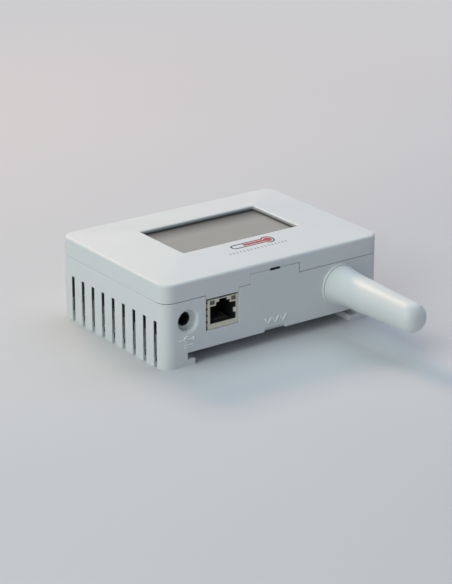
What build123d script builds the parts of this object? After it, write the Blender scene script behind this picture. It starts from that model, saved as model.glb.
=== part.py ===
from build123d import *
import os

os.makedirs("parts", exist_ok=True)

# Network thermometer lying on its wall side, in millimetres.
# X runs along the socket face, Y from that face into the case, Z up to the display.
# The origin is under the middle of the whole thing, case and sensor stem together.

# Case outline
case_length = 118.0
case_depth = 84.0
case_height = 38.8
corner_radius = 5.5
top_edge_radius = 1.2
wall = 2.2
floor = 2.0

# Seam between the rear shell and the cover
cover_height = 8.5
seam_gap = 0.2
seam_edge = 0.35
tongue_height = 2.4
tongue_thickness = 1.0
tongue_clearance = 0.15

# Channel under the case that slides over a wall bracket, and the thumb notch at its mouth
leg_width = 12.2
channel_height = 6.1
channel_wall = 2.0
lip_width = 4.0
lip_height = 2.8
notch_width = 11.4
notch_height = 1.9
notch_depth = 1.5

# Vent slots down both sides and round the bottom edge
vent_count = 9
vent_pitch = 8.32
vent_first = 6.8
vent_width = 2.4
vent_height = 21.5
vent_reach = 6.0
vent_wall = 0.8
vent_margin = 0.6

# Snap tab of the rear shell in the socket face, and the slot that opens it
snap_width = 26.6
snap_rise = 4.6
pry_slot_width = 5.5
pry_slot_height = 1.2

# Crowned top of the cover, and its window
crown_rise = 2.05
top_wall = 1.8
window_length = 65.0
window_depth = 36.6
window_corner = 0.6
window_x = 0.85
window_shift = 1.65
rim_land = 1.35
rim_rounding = 1.3

# Sensor stem
stem_margin = 22.8
stem_z = 19.5
stem_reach = 55.4
stem_wall = 1.6
flange_radius = 10.0
flange_thickness = 1.2
flare_radius = 9.2
neck_radius = 8.0
neck_reach = 12.0
flare_bow = 0.15
tip_radius = 6.8
tip_rounding = 5.6
spigot_radius = 7.5
spigot_clearance = 0.2
spigot_tail = 0.5
bead_height = 0.45
bead_width = 0.9
bead_gap = 0.05

# Main board and its screws
board_thickness = 1.6
board_side_gap = 3.8
board_front_gap = 2.0
board_back_gap = 7.6
boss_height = 4.5
boss_radius = 3.4
screw_radius = 1.25
screw_tip_gap = 0.7
screw_head_radius = 2.7
screw_head_height = 2.0
screw_head_edge = 0.7
screw_hole_radius = 1.6
screw_back_margin = 6.0
thread_clearance = 0.05
part_gap = 2.0

# Network socket
socket_margin = 30.9
shield_width = 16.2
shield_depth = 18.5
shield_sheet = 0.25
shield_recess = 0.1
cutout_left_gap = 0.7
cutout_right_gap = 0.25
cutout_sill = 0.25
cutout_headroom = 0.8
plug_width = 13.7
plug_sill = 2.3
plug_height = 8.1
latch_width = 7.4
latch_height = 1.5
key_width = 4.1
key_height = 1.2
cavity_depth = 13.0
cavity_margin = 0.4
led_width = 2.4
led_height = 2.0
led_depth = 6.0
led_side = 1.3
led_top = 0.45
led_sill = 0.65
led_clearance = 0.05
contact_count = 8
contact_pitch = 1.02
contact_width = 0.45
contact_thickness = 0.3
contact_front = 2.5
contact_sill = 0.3
contact_rise = 1.9
finger_height = 2.1
finger_sill = 5.1
finger_reach = 1.1
finger_bend = 0.7
finger_clearance = 0.2

# Power inlet
inlet_margin = 12.6
inlet_radius = 4.7
inlet_depth = 3.8
inlet_rounding = 1.4
cup_wall = 1.5
cup_floor = 1.5
plug_hole_radius = 3.3
cup_board_gap = 0.2
jack_width = 9.0
jack_height = 11.0
jack_depth = 14.0
jack_gap = 0.1
jack_nose_recess = 0.1
jack_nose_clearance = 0.05
jack_bore_radius = 2.75
jack_bore_depth = 9.5
jack_edge = 1.2
jack_pin_radius = 1.0
jack_pin_recess = 1.5
jack_pin_nose = 0.6
jack_pin_clearance = 0.05
jack_tail_width = 2.4
jack_tail_thickness = 0.4
spring_width = 2.2
spring_thickness = 0.4
spring_lift = 0.4
spring_front = 3.0
spring_back = 8.0
spring_clearance = 0.15

# Display
gasket_width = 0.5
gasket_clearance = 0.05
glass_lap = 4.5
glass_thickness = 2.8
frame_wall = 1.6
frame_ledge = 1.4
frame_clearance = 0.2
frame_drop = 0.3
strip_height = 4.0
strip_width = 2.2
strip_margin = 0.5
strip_end_gap = 0.5
display_boss_radius = 2.8
display_boss_gap = 0.5
display_screw_bite = 3.8
display_margin = 4.0

# Pins that join the boards
pin_side = 0.64
pin_pitch = 2.54
pin_hole_radius = 0.5
pin_clearance = 0.03
pin_tail = 1.8
header_width = 2.5
header_margin = 6.8
header_count = 4
link_count = 10
link_collar = 2.5
link_gap = 5.45
link_pin_gap = 1.0

# Sensor strip inside the stem
strip_board_thickness = 1.0
strip_board_clearance = 0.7
strip_board_tail = 4.0
strip_board_tip_gap = 9.0
sensor_side = 3.0
sensor_height = 1.0
sensor_margin = 1.5

# Parts on the main board
network_chip_side = 10.0
processor_side = 14.0
chip_height = 1.4
chip_edge = 0.4
crystal_length = 11.0
crystal_width = 4.7
crystal_height = 3.5
crystal_edge = 0.8
capacitor_count = 2
capacitor_radius = 4.0
capacitor_headroom = 5.95
capacitor_edge = 0.6
coil_side = 8.0
coil_height = 4.5
coil_corner = 1.5

# Places of the case that follow from the sizes above
front = (stem_reach - case_depth) / 2
back = front + case_depth
middle = (front + back) / 2
inner_length = case_length - 2 * wall
inner_depth = case_depth - 2 * wall
inner_radius = corner_radius - wall
floor_top = channel_height + floor
channel_width = case_length - 2 * leg_width
seam_height = case_height - cover_height
tongue_top = seam_height + tongue_height
cover_rim = seam_height + seam_gap
snap_top = seam_height + snap_rise
snap_root = seam_height - wall
rim_top = case_height + crown_rise
window_y = middle + window_shift
socket_face = Plane.XZ.offset(-front)
stem_x = case_length / 2 - stem_margin
socket_x = socket_margin - case_length / 2
inlet_x = inlet_margin - case_length / 2

# Main board, network socket and power inlet
board_bottom = floor_top + boss_height
board_top = board_bottom + board_thickness
board_front = front + wall + board_front_gap
board_back = back - wall - board_back_gap
board_length = inner_length - 2 * board_side_gap
socket_front = front + shield_recess
socket_back = socket_front + shield_depth
shield_height = plug_sill + plug_height + led_sill + led_height + led_top
shield_top = board_top + shield_height
cutout_left = socket_x - shield_width / 2 - cutout_left_gap
cutout_right = socket_x + shield_width / 2 + cutout_right_gap
cutout_width = cutout_right - cutout_left
cutout_x = (cutout_left + cutout_right) / 2
cutout_bottom = board_top - cutout_sill
cutout_top = shield_top + cutout_headroom
plug_bottom = board_top + plug_sill
cavity_back = socket_front + cavity_depth
led_x = shield_width / 2 - led_side - led_width / 2
led_bottom = shield_top - led_top - led_height
finger_bottom = board_top + finger_sill
jack_axis_height = inlet_radius + cup_wall + cup_board_gap
inlet_z = board_top + jack_axis_height
nose_front = front + inlet_depth + jack_nose_recess
jack_front = front + inlet_depth + cup_floor + jack_gap
jack_back = jack_front + jack_depth
screw_x = channel_width / 2 - boss_radius
screw_front_y = jack_back + screw_head_radius + part_gap
screw_back_y = board_back - screw_back_margin
screw_length = board_thickness + boss_height - screw_tip_gap
screw_places = [(side * screw_x, y) for y in (screw_front_y, screw_back_y) for side in (-1, 1)]

# Display, under the window
glass_top = rim_top - top_wall
glass_bottom = glass_top - glass_thickness
plate_bottom = glass_top - glass_thickness / 2
hole_length = window_length - 2 * rim_land
hole_depth = window_depth - 2 * rim_land
gasket_top = rim_top - rim_rounding
gasket_length = hole_length - 2 * gasket_clearance
gasket_depth = hole_depth - 2 * gasket_clearance
glass_length = hole_length + 2 * glass_lap
glass_depth = hole_depth + 2 * glass_lap
frame_length = glass_length + 2 * (frame_clearance + frame_wall)
frame_depth = glass_depth + 2 * (frame_clearance + frame_wall)
display_top = glass_bottom - strip_height
display_bottom = display_top - board_thickness
link_socket_height = display_bottom - link_collar - link_gap - board_top
capacitor_height = display_bottom - capacitor_headroom - board_top
display_screw_x = frame_length / 2 + display_boss_gap + display_boss_radius
display_screw_y = frame_depth / 2 - display_boss_radius
display_screw_places = [
    (window_x + side * display_screw_x, window_y + end * display_screw_y)
    for end in (-1, 1)
    for side in (-1, 1)
]
link_y = window_y + frame_depth / 2 + header_width
display_front = window_y - frame_depth / 2
display_back = link_y + header_width

# Sensor strip
header_y = board_front + header_margin
strip_board_bottom = stem_z - strip_board_thickness / 2
strip_board_top = stem_z + strip_board_thickness / 2
strip_board_width = 2 * (tip_radius - stem_wall - strip_board_clearance)
strip_board_tip = front - stem_reach + strip_board_tip_gap

# Rows of parts behind the network socket
chip_row = socket_back + part_gap + network_chip_side / 2
crystal_x = socket_x + network_chip_side / 2 + part_gap + crystal_length / 2
processor_x = crystal_x + crystal_length / 2 + part_gap + processor_side / 2
coil_row = chip_row + network_chip_side / 2 + part_gap + coil_side / 2
capacitor_pitch = 2 * capacitor_radius + part_gap
capacitor_x = socket_x + coil_side / 2 + part_gap + capacitor_radius

from_front = (Align.CENTER, Align.MIN, Align.MIN)
upright = (Align.CENTER, Align.MIN)


def crown_height(x, y):
    """Height of the cover's outer surface above a point beside the window."""
    left = (x + case_length / 2) / (window_x - window_length / 2 + case_length / 2)
    right = (case_length / 2 - x) / (case_length / 2 - window_x - window_length / 2)
    near = (y - front) / (window_y - window_depth / 2 - front)
    far = (back - y) / (back - window_y - window_depth / 2)
    return case_height + crown_rise * min(left, right, near, far)


def plug_opening(margin):
    """Draws the stepped opening for a network plug in the current sketch, latch side up."""
    with Locations((socket_x, plug_bottom)):
        Rectangle(plug_width - 2 * margin, plug_height, align=upright)
    with Locations((socket_x, plug_bottom + plug_height)):
        Rectangle(latch_width - 2 * margin, latch_height, align=upright)
    with Locations((socket_x, plug_bottom + plug_height + latch_height)):
        Rectangle(key_width - 2 * margin, key_height, align=upright)


def pin_row(x, y, count):
    """Places of a row of pins along X, centred on a point."""
    return [(x + (i - (count - 1) / 2) * pin_pitch, y) for i in range(count)]


header_pin_places = pin_row(stem_x, header_y, header_count)
link_pin_places = pin_row(0, link_y, link_count)


# Rear shell: the moulded tray that goes on the wall, with hollow legs beside the channel
with BuildPart() as rear_shell:
    with BuildSketch(Plane.XY):
        with Locations((0, middle)):
            RectangleRounded(case_length, case_depth, corner_radius)
    extrude(amount=seam_height)
    chamfer(rear_shell.edges().group_by(Axis.Z)[-1], length=seam_edge)
    with BuildSketch(Plane.XY.offset(floor_top)):
        with Locations((0, middle)):
            RectangleRounded(inner_length, inner_depth, inner_radius)
    extrude(amount=seam_height - floor_top, mode=Mode.SUBTRACT)
    with BuildSketch(Plane.XY.offset(floor)):
        with Locations((0, middle)):
            RectangleRounded(inner_length, inner_depth, inner_radius)
            Rectangle(channel_width + 2 * channel_wall, case_depth, mode=Mode.SUBTRACT)
    extrude(amount=floor_top - floor, mode=Mode.SUBTRACT)

    # Channel with a lip along each side, open at the socket face and stopped by the back wall
    with BuildSketch(socket_face):
        Rectangle(channel_width - 2 * lip_width, channel_height, align=upright)
        with Locations((0, lip_height)):
            Rectangle(channel_width, channel_height - lip_height, align=upright)
    extrude(amount=wall - case_depth, mode=Mode.SUBTRACT)
    with BuildSketch(Plane.YZ.offset(-notch_width / 2)):
        with BuildLine():
            Polyline(
                (front, channel_height),
                (front + notch_depth, channel_height),
                (front, channel_height + notch_height),
                close=True,
            )
        make_face()
    extrude(amount=notch_width, mode=Mode.SUBTRACT)

    # Vents through the sides and the floor of the legs, where the side walls are thinned inside
    vent_row = vent_pitch * (vent_count - 1)
    with BuildSketch(Plane.XY.offset(floor)):
        with Locations((0, front + vent_first + vent_row / 2)):
            with GridLocations(inner_length + wall - vent_wall, 0, 2, 1):
                Rectangle(wall - vent_wall, vent_row + vent_width + 2 * vent_margin)
    extrude(amount=vent_height + vent_margin - floor, mode=Mode.SUBTRACT)
    with BuildSketch(Plane.XY):
        with Locations((0, front + vent_first + vent_row / 2)):
            with GridLocations(case_length - vent_reach, vent_pitch, 2, vent_count):
                Rectangle(vent_reach, vent_width)
    extrude(amount=vent_height, mode=Mode.SUBTRACT)

    # Tongue that carries the cover, left out where the socket and the snap tab are
    with BuildSketch(Plane.XY.offset(seam_height)):
        with Locations((0, middle)):
            RectangleRounded(
                inner_length + 2 * tongue_thickness,
                inner_depth + 2 * tongue_thickness,
                inner_radius + tongue_thickness,
            )
            RectangleRounded(inner_length, inner_depth, inner_radius, mode=Mode.SUBTRACT)
    extrude(amount=tongue_height)
    with Locations((cutout_left - seam_gap, front, seam_height)):
        Box(
            snap_width / 2 + 2 * seam_gap - cutout_left,
            wall,
            tongue_height,
            align=(Align.MIN, Align.MIN, Align.MIN),
            mode=Mode.SUBTRACT,
        )

    # Snap tab, its edges bevelled at the face and its root sunk below the bevelled rim
    with Locations((0, front + seam_edge, snap_root)):
        Box(snap_width, wall - seam_edge, snap_top - snap_root, align=from_front)
    with BuildSketch(socket_face.offset(-seam_edge)):
        with Locations((0, snap_root)):
            Rectangle(snap_width, snap_top - snap_root, align=upright)
    with BuildSketch(socket_face):
        with Locations((0, snap_root + seam_edge)):
            Rectangle(snap_width - 2 * seam_edge, snap_top - snap_root - 2 * seam_edge, align=upright)
    loft(ruled=True)
    with Locations((0, front, snap_top - pry_slot_height / 2)):
        Box(pry_slot_width, wall, pry_slot_height, align=from_front, mode=Mode.SUBTRACT)

    # Cut-out for the network socket, open at the top and closed by the cover, its edges bevelled
    with Locations((cutout_x, front, cutout_bottom)):
        Box(cutout_width, wall, seam_height, align=from_front, mode=Mode.SUBTRACT)
    with BuildSketch(socket_face):
        with Locations((cutout_x, cutout_bottom - seam_edge)):
            Rectangle(cutout_width + 2 * seam_edge, seam_height, align=upright)
    extrude(amount=-seam_edge, taper=45, mode=Mode.SUBTRACT)

    # Cup round the power inlet, deep enough for a plug's collar
    with BuildSketch(socket_face):
        with Locations((inlet_x, inlet_z)):
            Circle(inlet_radius + cup_wall)
    extrude(amount=-(inlet_depth + cup_floor))
    with BuildSketch(socket_face):
        with Locations((inlet_x, inlet_z)):
            Circle(inlet_radius)
    extrude(amount=-inlet_depth, mode=Mode.SUBTRACT)
    mouth_edges = rear_shell.edges().filter_by_position(Axis.Y, front, front).filter_by(GeomType.CIRCLE)
    fillet(mouth_edges.sort_by_distance((inlet_x, front, inlet_z))[0], radius=inlet_rounding)
    with BuildSketch(socket_face):
        with Locations((inlet_x, inlet_z)):
            Circle(plug_hole_radius)
    extrude(amount=-(inlet_depth + cup_floor), mode=Mode.SUBTRACT)

    # Hole for the stem's spigot
    with BuildSketch(socket_face):
        with Locations((stem_x, stem_z)):
            Circle(spigot_radius + spigot_clearance)
    extrude(amount=-wall, mode=Mode.SUBTRACT)

    # Bosses for the main board
    with BuildSketch(Plane.XY.offset(floor_top)):
        with Locations(screw_places):
            Circle(boss_radius)
    extrude(amount=boss_height)
    with BuildSketch(Plane.XY.offset(board_bottom)):
        with Locations(screw_places):
            Circle(screw_radius + thread_clearance)
    extrude(amount=-boss_height, mode=Mode.SUBTRACT)
rear_shell.part.label = "rear_shell"
export_step(rear_shell.part, "parts/rear_shell.step")


# Front cover: the moulded lid, crowned up to the rim of the display window
with BuildPart() as front_cover:
    with BuildSketch(Plane.XY.offset(cover_rim)):
        with Locations((0, middle)):
            RectangleRounded(case_length, case_depth, corner_radius)
    extrude(amount=case_height - cover_rim)
    with BuildSketch(Plane.XY.offset(case_height)):
        with Locations((0, middle)):
            RectangleRounded(case_length, case_depth, corner_radius)
    with BuildSketch(Plane.XY.offset(rim_top)):
        with Locations((window_x, window_y)):
            RectangleRounded(window_length, window_depth, window_corner)
    loft(ruled=True)
    top_outline = front_cover.edges().filter_by_position(Axis.Z, case_height, case_height)
    fillet(top_outline, radius=top_edge_radius)

    # Inside, an even wall under the crown and a rebate for the shell's tongue
    with BuildSketch(Plane.XY.offset(cover_rim)):
        with Locations((0, middle)):
            RectangleRounded(inner_length, inner_depth, inner_radius)
    extrude(amount=case_height - top_wall - cover_rim, mode=Mode.SUBTRACT)
    with BuildSketch(Plane.XY.offset(case_height - top_wall)):
        with Locations((0, middle)):
            RectangleRounded(inner_length, inner_depth, inner_radius)
    with BuildSketch(Plane.XY.offset(glass_top)):
        with Locations((window_x, window_y)):
            RectangleRounded(window_length, window_depth, window_corner)
    loft(ruled=True, mode=Mode.SUBTRACT)
    with BuildSketch(Plane.XY.offset(cover_rim)):
        with Locations((0, middle)):
            RectangleRounded(
                inner_length + 2 * (tongue_thickness + tongue_clearance),
                inner_depth + 2 * (tongue_thickness + tongue_clearance),
                inner_radius + tongue_thickness + tongue_clearance,
            )
    extrude(amount=tongue_top - cover_rim, mode=Mode.SUBTRACT)

    # Flat seat for the display, and the window with its rounded rim
    with BuildSketch(Plane.XY.offset(glass_top)):
        with Locations((window_x, window_y)):
            Rectangle(frame_length + 2 * frame_clearance, frame_depth + 2 * frame_clearance)
    extrude(amount=-crown_rise, mode=Mode.SUBTRACT)
    with BuildSketch(Plane.XY.offset(glass_top)):
        with Locations((window_x, window_y)):
            RectangleRounded(hole_length, hole_depth, window_corner)
    extrude(amount=top_wall, mode=Mode.SUBTRACT)
    rim_edges = front_cover.faces().sort_by(Axis.Z)[-1].inner_wires()[0].edges()
    fillet(rim_edges, radius=rim_rounding)

    # Bosses that the display board is screwed to
    for x, y in display_screw_places:
        with BuildSketch(Plane.XY.offset(display_top)):
            with Locations((x, y)):
                Circle(display_boss_radius)
        extrude(amount=crown_height(x, y) - top_wall / 2 - display_top)
    with BuildSketch(Plane.XY.offset(display_top)):
        with Locations(display_screw_places):
            Circle(screw_radius + thread_clearance)
    extrude(amount=display_screw_bite + thread_clearance, mode=Mode.SUBTRACT)

    # Opening for the snap tab, and the drop tab that closes the socket's cut-out
    with Locations((0, front, cover_rim)):
        Box(snap_width + 2 * seam_gap, wall, snap_rise, align=from_front, mode=Mode.SUBTRACT)
    with Locations((0, front, snap_top - pry_slot_height / 2)):
        Box(pry_slot_width, wall, pry_slot_height, align=from_front, mode=Mode.SUBTRACT)
    with Locations((cutout_x, front, board_top)):
        Box(cutout_width - seam_gap, wall, tongue_top - board_top, align=from_front)
    with Locations((cutout_x, front, board_top)):
        Box(cutout_width, wall, cutout_top - board_top, align=from_front, mode=Mode.SUBTRACT)
front_cover.part.label = "front_cover"
export_step(front_cover.part, "parts/front_cover.step")


# Sensor cap: the hollow stem, moulded with its flange and a spigot that snaps into the shell
stem_section = Plane(origin=(stem_x, front, stem_z), x_dir=(1, 0, 0), z_dir=(0, 0, -1))
stem_axis = Axis((stem_x, front, stem_z), (0, -1, 0))
bead_start = -(wall + bead_gap)
bead_end = bead_start - bead_width
spigot_end = bead_end - spigot_tail
with BuildPart() as sensor_cap:
    with BuildSketch(stem_section) as cap_profile:
        with BuildLine():
            Polyline(
                (0, stem_reach),
                (0, stem_reach - stem_wall),
                (tip_radius - stem_wall, stem_reach - stem_wall),
                (spigot_radius - stem_wall, spigot_end),
                (spigot_radius, spigot_end),
                (spigot_radius, bead_end),
                (spigot_radius + bead_height, (bead_start + bead_end) / 2),
                (spigot_radius, bead_start),
                (spigot_radius, 0),
                (flange_radius, 0),
                (flange_radius, flange_thickness),
                (flare_radius, flange_thickness),
            )
            ThreePointArc(
                (flare_radius, flange_thickness),
                ((flare_radius + neck_radius) / 2 - flare_bow, (flange_thickness + neck_reach) / 2),
                (neck_radius, neck_reach),
            )
            Polyline((neck_radius, neck_reach), (tip_radius, stem_reach), (0, stem_reach))
        make_face()
        outer_tip = cap_profile.vertices().group_by(Axis.Y)[-1].sort_by(Axis.X)[-1]
        inner_tip = cap_profile.vertices().group_by(Axis.Y)[-2].sort_by(Axis.X)[-1]
        fillet(outer_tip, radius=tip_rounding)
        fillet(inner_tip, radius=tip_rounding - stem_wall)
    revolve(axis=stem_axis)
sensor_cap.part.label = "sensor_cap"
export_step(sensor_cap.part, "parts/sensor_cap.step")


# Display glass: a full front plate and a narrower back plate, so the contact ledges face down
with BuildPart() as display_glass:
    with BuildSketch(Plane.XY.offset(plate_bottom)):
        with Locations((window_x, window_y)):
            Rectangle(glass_length, glass_depth)
    extrude(amount=glass_thickness / 2)
    with BuildSketch(Plane.XY.offset(glass_bottom)):
        with Locations((window_x, window_y)):
            Rectangle(glass_length, glass_depth - 2 * (strip_width + 2 * strip_margin))
    extrude(amount=glass_thickness / 2)
display_glass.part.label = "display_glass"
export_step(display_glass.part, "parts/display_glass.step")


# Window gasket: a dark ring between the glass and the window's rim
with BuildPart() as window_gasket:
    with BuildSketch(Plane.XY.offset(glass_top)):
        with Locations((window_x, window_y)):
            RectangleRounded(gasket_length, gasket_depth, window_corner)
            Rectangle(gasket_length - 2 * gasket_width, gasket_depth - 2 * gasket_width, mode=Mode.SUBTRACT)
    extrude(amount=gasket_top - glass_top)
window_gasket.part.label = "window_gasket"
export_step(window_gasket.part, "parts/window_gasket.step")


# Display frame: moulded ring that carries the glass on two end ledges
with BuildPart() as display_frame:
    with BuildSketch(Plane.XY.offset(display_top)):
        with Locations((window_x, window_y)):
            Rectangle(frame_length, frame_depth)
    extrude(amount=glass_top - frame_drop - display_top)
    with BuildSketch(Plane.XY.offset(glass_bottom)):
        with Locations((window_x, window_y)):
            Rectangle(glass_length + 2 * frame_clearance, glass_depth + 2 * frame_clearance)
    extrude(amount=glass_thickness, mode=Mode.SUBTRACT)
    with BuildSketch(Plane.XY.offset(display_top)):
        with Locations((window_x, window_y)):
            Rectangle(glass_length - 2 * frame_ledge, glass_depth + 2 * frame_clearance)
    extrude(amount=strip_height, mode=Mode.SUBTRACT)
display_frame.part.label = "display_frame"
export_step(display_frame.part, "parts/display_frame.step")


# Contact strips: two rubber strips that press between the display board and the glass ledges
with BuildPart() as contact_strips:
    with BuildSketch(Plane.XY.offset(display_top)):
        with Locations((window_x, window_y)):
            with GridLocations(0, glass_depth - strip_width - 2 * strip_margin, 1, 2):
                Rectangle(glass_length - 2 * (frame_ledge + strip_end_gap), strip_width)
    extrude(amount=plate_bottom - display_top)
contact_strips.part.label = "contact_strips"
export_step(contact_strips.part, "parts/contact_strips.step")


# Display board, screwed up against the cover's bosses
with BuildPart() as display_board:
    with BuildSketch(Plane.XY.offset(display_bottom)):
        with Locations((window_x, (display_front + display_back) / 2)):
            Rectangle(2 * (display_screw_x + display_margin), display_back - display_front)
        with Locations(display_screw_places):
            Circle(screw_hole_radius, mode=Mode.SUBTRACT)
        with Locations(link_pin_places):
            Circle(pin_hole_radius, mode=Mode.SUBTRACT)
    extrude(amount=board_thickness)
display_board.part.label = "display_board"
export_step(display_board.part, "parts/display_board.step")


# Display screws, heads down
with BuildPart() as display_screws:
    with BuildSketch(Plane.XY.offset(display_bottom)):
        with Locations(display_screw_places):
            Circle(screw_head_radius)
    extrude(amount=-screw_head_height)
    head_edges = display_screws.edges().group_by(Axis.Z)[0]
    chamfer(head_edges, length=screw_head_edge)
    with BuildSketch(Plane.XY.offset(display_bottom)):
        with Locations(display_screw_places):
            Circle(screw_radius)
    extrude(amount=board_thickness + display_screw_bite)
display_screws.part.label = "display_screws"
export_step(display_screws.part, "parts/display_screws.step")


# Main board on the shell's bosses
with BuildPart() as main_board:
    with BuildSketch(Plane.XY.offset(board_bottom)):
        with Locations((0, (board_front + board_back) / 2)):
            Rectangle(board_length, board_back - board_front)
        with Locations(screw_places):
            Circle(screw_hole_radius, mode=Mode.SUBTRACT)
        with Locations(header_pin_places):
            Circle(pin_hole_radius, mode=Mode.SUBTRACT)
    extrude(amount=board_thickness)
main_board.part.label = "main_board"
export_step(main_board.part, "parts/main_board.step")


# Main board screws, heads up
with BuildPart() as board_screws:
    with BuildSketch(Plane.XY.offset(board_top)):
        with Locations(screw_places):
            Circle(screw_head_radius)
    extrude(amount=screw_head_height)
    head_edges = board_screws.edges().group_by(Axis.Z)[-1]
    chamfer(head_edges, length=screw_head_edge)
    with BuildSketch(Plane.XY.offset(board_top)):
        with Locations(screw_places):
            Circle(screw_radius)
    extrude(amount=-screw_length)
board_screws.part.label = "board_screws"
export_step(board_screws.part, "parts/board_screws.step")


# Link socket on the main board, with a square hole for each pin
with BuildPart() as link_socket:
    with BuildSketch(Plane.XY.offset(board_top)):
        with Locations((0, link_y)):
            Rectangle(link_count * pin_pitch, header_width)
        with Locations(link_pin_places):
            Rectangle(pin_side + 2 * pin_clearance, pin_side + 2 * pin_clearance, mode=Mode.SUBTRACT)
    extrude(amount=link_socket_height)
link_socket.part.label = "link_socket"
export_step(link_socket.part, "parts/link_socket.step")


# Link collar under the display board
with BuildPart() as link_collar_bar:
    with BuildSketch(Plane.XY.offset(display_bottom)):
        with Locations((0, link_y)):
            Rectangle(link_count * pin_pitch, header_width)
        with Locations(link_pin_places):
            Rectangle(pin_side + 2 * pin_clearance, pin_side + 2 * pin_clearance, mode=Mode.SUBTRACT)
    extrude(amount=-link_collar)
link_collar_bar.part.label = "link_collar"
export_step(link_collar_bar.part, "parts/link_collar.step")


# Link pins from the display board down into the socket
with BuildPart() as link_pins:
    with BuildSketch(Plane.XY.offset(board_top + link_pin_gap)):
        with Locations(link_pin_places):
            Rectangle(pin_side, pin_side)
    extrude(amount=display_top + pin_tail - board_top - link_pin_gap)
link_pins.part.label = "link_pins"
export_step(link_pins.part, "parts/link_pins.step")


# Network socket shield: folded sheet, open below, with a stepped opening and two spring fingers
with BuildPart() as socket_shield:
    with Locations((socket_x, socket_front, board_top)):
        Box(shield_width, shield_depth, shield_height, align=from_front)
    with Locations((socket_x, socket_front + shield_sheet, board_top)):
        Box(
            shield_width - 2 * shield_sheet,
            shield_depth - 2 * shield_sheet,
            shield_height - shield_sheet,
            align=from_front,
            mode=Mode.SUBTRACT,
        )
    with BuildSketch(Plane.XZ.offset(-socket_front)):
        plug_opening(0)
        with Locations((socket_x - led_x, led_bottom), (socket_x + led_x, led_bottom)):
            Rectangle(led_width + 2 * led_clearance, led_height, align=upright)
    extrude(amount=-shield_sheet, mode=Mode.SUBTRACT)
    for side in (-1, 1):
        finger_root = socket_x + side * plug_width / 2
        finger_tip = finger_root - side * finger_bend
        with BuildSketch(Plane.XY.offset(finger_bottom)):
            with BuildLine():
                Polyline(
                    (finger_root, socket_front),
                    (finger_root + side * shield_sheet, socket_front),
                    (finger_tip + side * shield_sheet, socket_front + finger_reach),
                    (finger_tip, socket_front + finger_reach),
                    close=True,
                )
            make_face()
        extrude(amount=finger_height)
socket_shield.part.label = "socket_shield"
export_step(socket_shield.part, "parts/socket_shield.step")


# Network socket insert: the moulded body with the plug's cavity, inside the shield
with BuildPart() as socket_insert:
    with Locations((socket_x, socket_front + shield_sheet, board_top)):
        Box(
            shield_width - 2 * shield_sheet,
            shield_depth - 2 * shield_sheet,
            shield_height - shield_sheet,
            align=from_front,
        )
    with BuildSketch(Plane.XZ.offset(-socket_front)):
        plug_opening(cavity_margin)
    extrude(amount=-cavity_depth, mode=Mode.SUBTRACT)
    for side in (-1, 1):
        with Locations((socket_x + side * led_x, socket_front, led_bottom)):
            Box(
                led_width + 2 * led_clearance,
                led_depth,
                led_height,
                align=from_front,
                mode=Mode.SUBTRACT,
            )
    with Locations((socket_x, socket_front, finger_bottom - finger_clearance)):
        Box(
            plug_width + 2 * (shield_sheet + finger_clearance),
            finger_reach + finger_clearance,
            finger_height + 2 * finger_clearance,
            align=from_front,
            mode=Mode.SUBTRACT,
        )
socket_insert.part.label = "socket_insert"
export_step(socket_insert.part, "parts/socket_insert.step")


# Network socket contacts: sprung wires that rise from the sill to the back of the cavity
with BuildPart() as socket_contacts:
    for i in range(contact_count):
        wire_x = socket_x + (i - (contact_count - 1) / 2) * contact_pitch
        wire_front = socket_front + contact_front
        wire_low = plug_bottom + contact_sill
        with BuildSketch(Plane.YZ.offset(wire_x - contact_width / 2)):
            with BuildLine():
                Polyline(
                    (wire_front, wire_low),
                    (cavity_back, wire_low + contact_rise),
                    (cavity_back, wire_low + contact_rise + contact_thickness),
                    (wire_front, wire_low + contact_thickness),
                    close=True,
                )
            make_face()
        extrude(amount=contact_width)
socket_contacts.part.label = "socket_contacts"
export_step(socket_contacts.part, "parts/socket_contacts.step")


# Link light, green, in the left corner above the plug
with BuildPart() as green_light:
    with Locations((socket_x - led_x, socket_front, led_bottom)):
        Box(led_width, led_depth, led_height, align=from_front)
green_light.part.label = "green_light"
export_step(green_light.part, "parts/green_light.step")


# Traffic light, yellow, in the right corner above the plug
with BuildPart() as yellow_light:
    with Locations((socket_x + led_x, socket_front, led_bottom)):
        Box(led_width, led_depth, led_height, align=from_front)
yellow_light.part.label = "yellow_light"
export_step(yellow_light.part, "parts/yellow_light.step")


# Power jack body behind the cup, with a round nose in the cup's hole and a slot for the spring
with BuildPart() as jack_body:
    with Locations((inlet_x, jack_front, board_top)):
        Box(jack_width, jack_depth, jack_height, align=from_front)
    long_top_edges = jack_body.edges().filter_by(Axis.Y).group_by(Axis.Z)[-1]
    chamfer(long_top_edges, length=jack_edge)
    with BuildSketch(Plane.XZ.offset(-nose_front)):
        with Locations((inlet_x, inlet_z)):
            Circle(plug_hole_radius - jack_nose_clearance)
    extrude(amount=nose_front - jack_front)
    with BuildSketch(Plane.XZ.offset(-nose_front)):
        with Locations((inlet_x, inlet_z)):
            Circle(jack_bore_radius)
    extrude(amount=nose_front - jack_front - jack_bore_depth, mode=Mode.SUBTRACT)
    with BuildSketch(Plane.XZ.offset(-jack_front)):
        with Locations((inlet_x, inlet_z)):
            Circle(jack_pin_radius + jack_pin_clearance)
    extrude(amount=-jack_depth, mode=Mode.SUBTRACT)
    with Locations((inlet_x, jack_front + spring_front - spring_clearance, board_top)):
        Box(
            spring_width + 2 * spring_clearance,
            spring_back - spring_front + 2 * spring_clearance,
            jack_axis_height - jack_pin_radius,
            align=from_front,
            mode=Mode.SUBTRACT,
        )
jack_body.part.label = "jack_body"
export_step(jack_body.part, "parts/jack_body.step")


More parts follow.
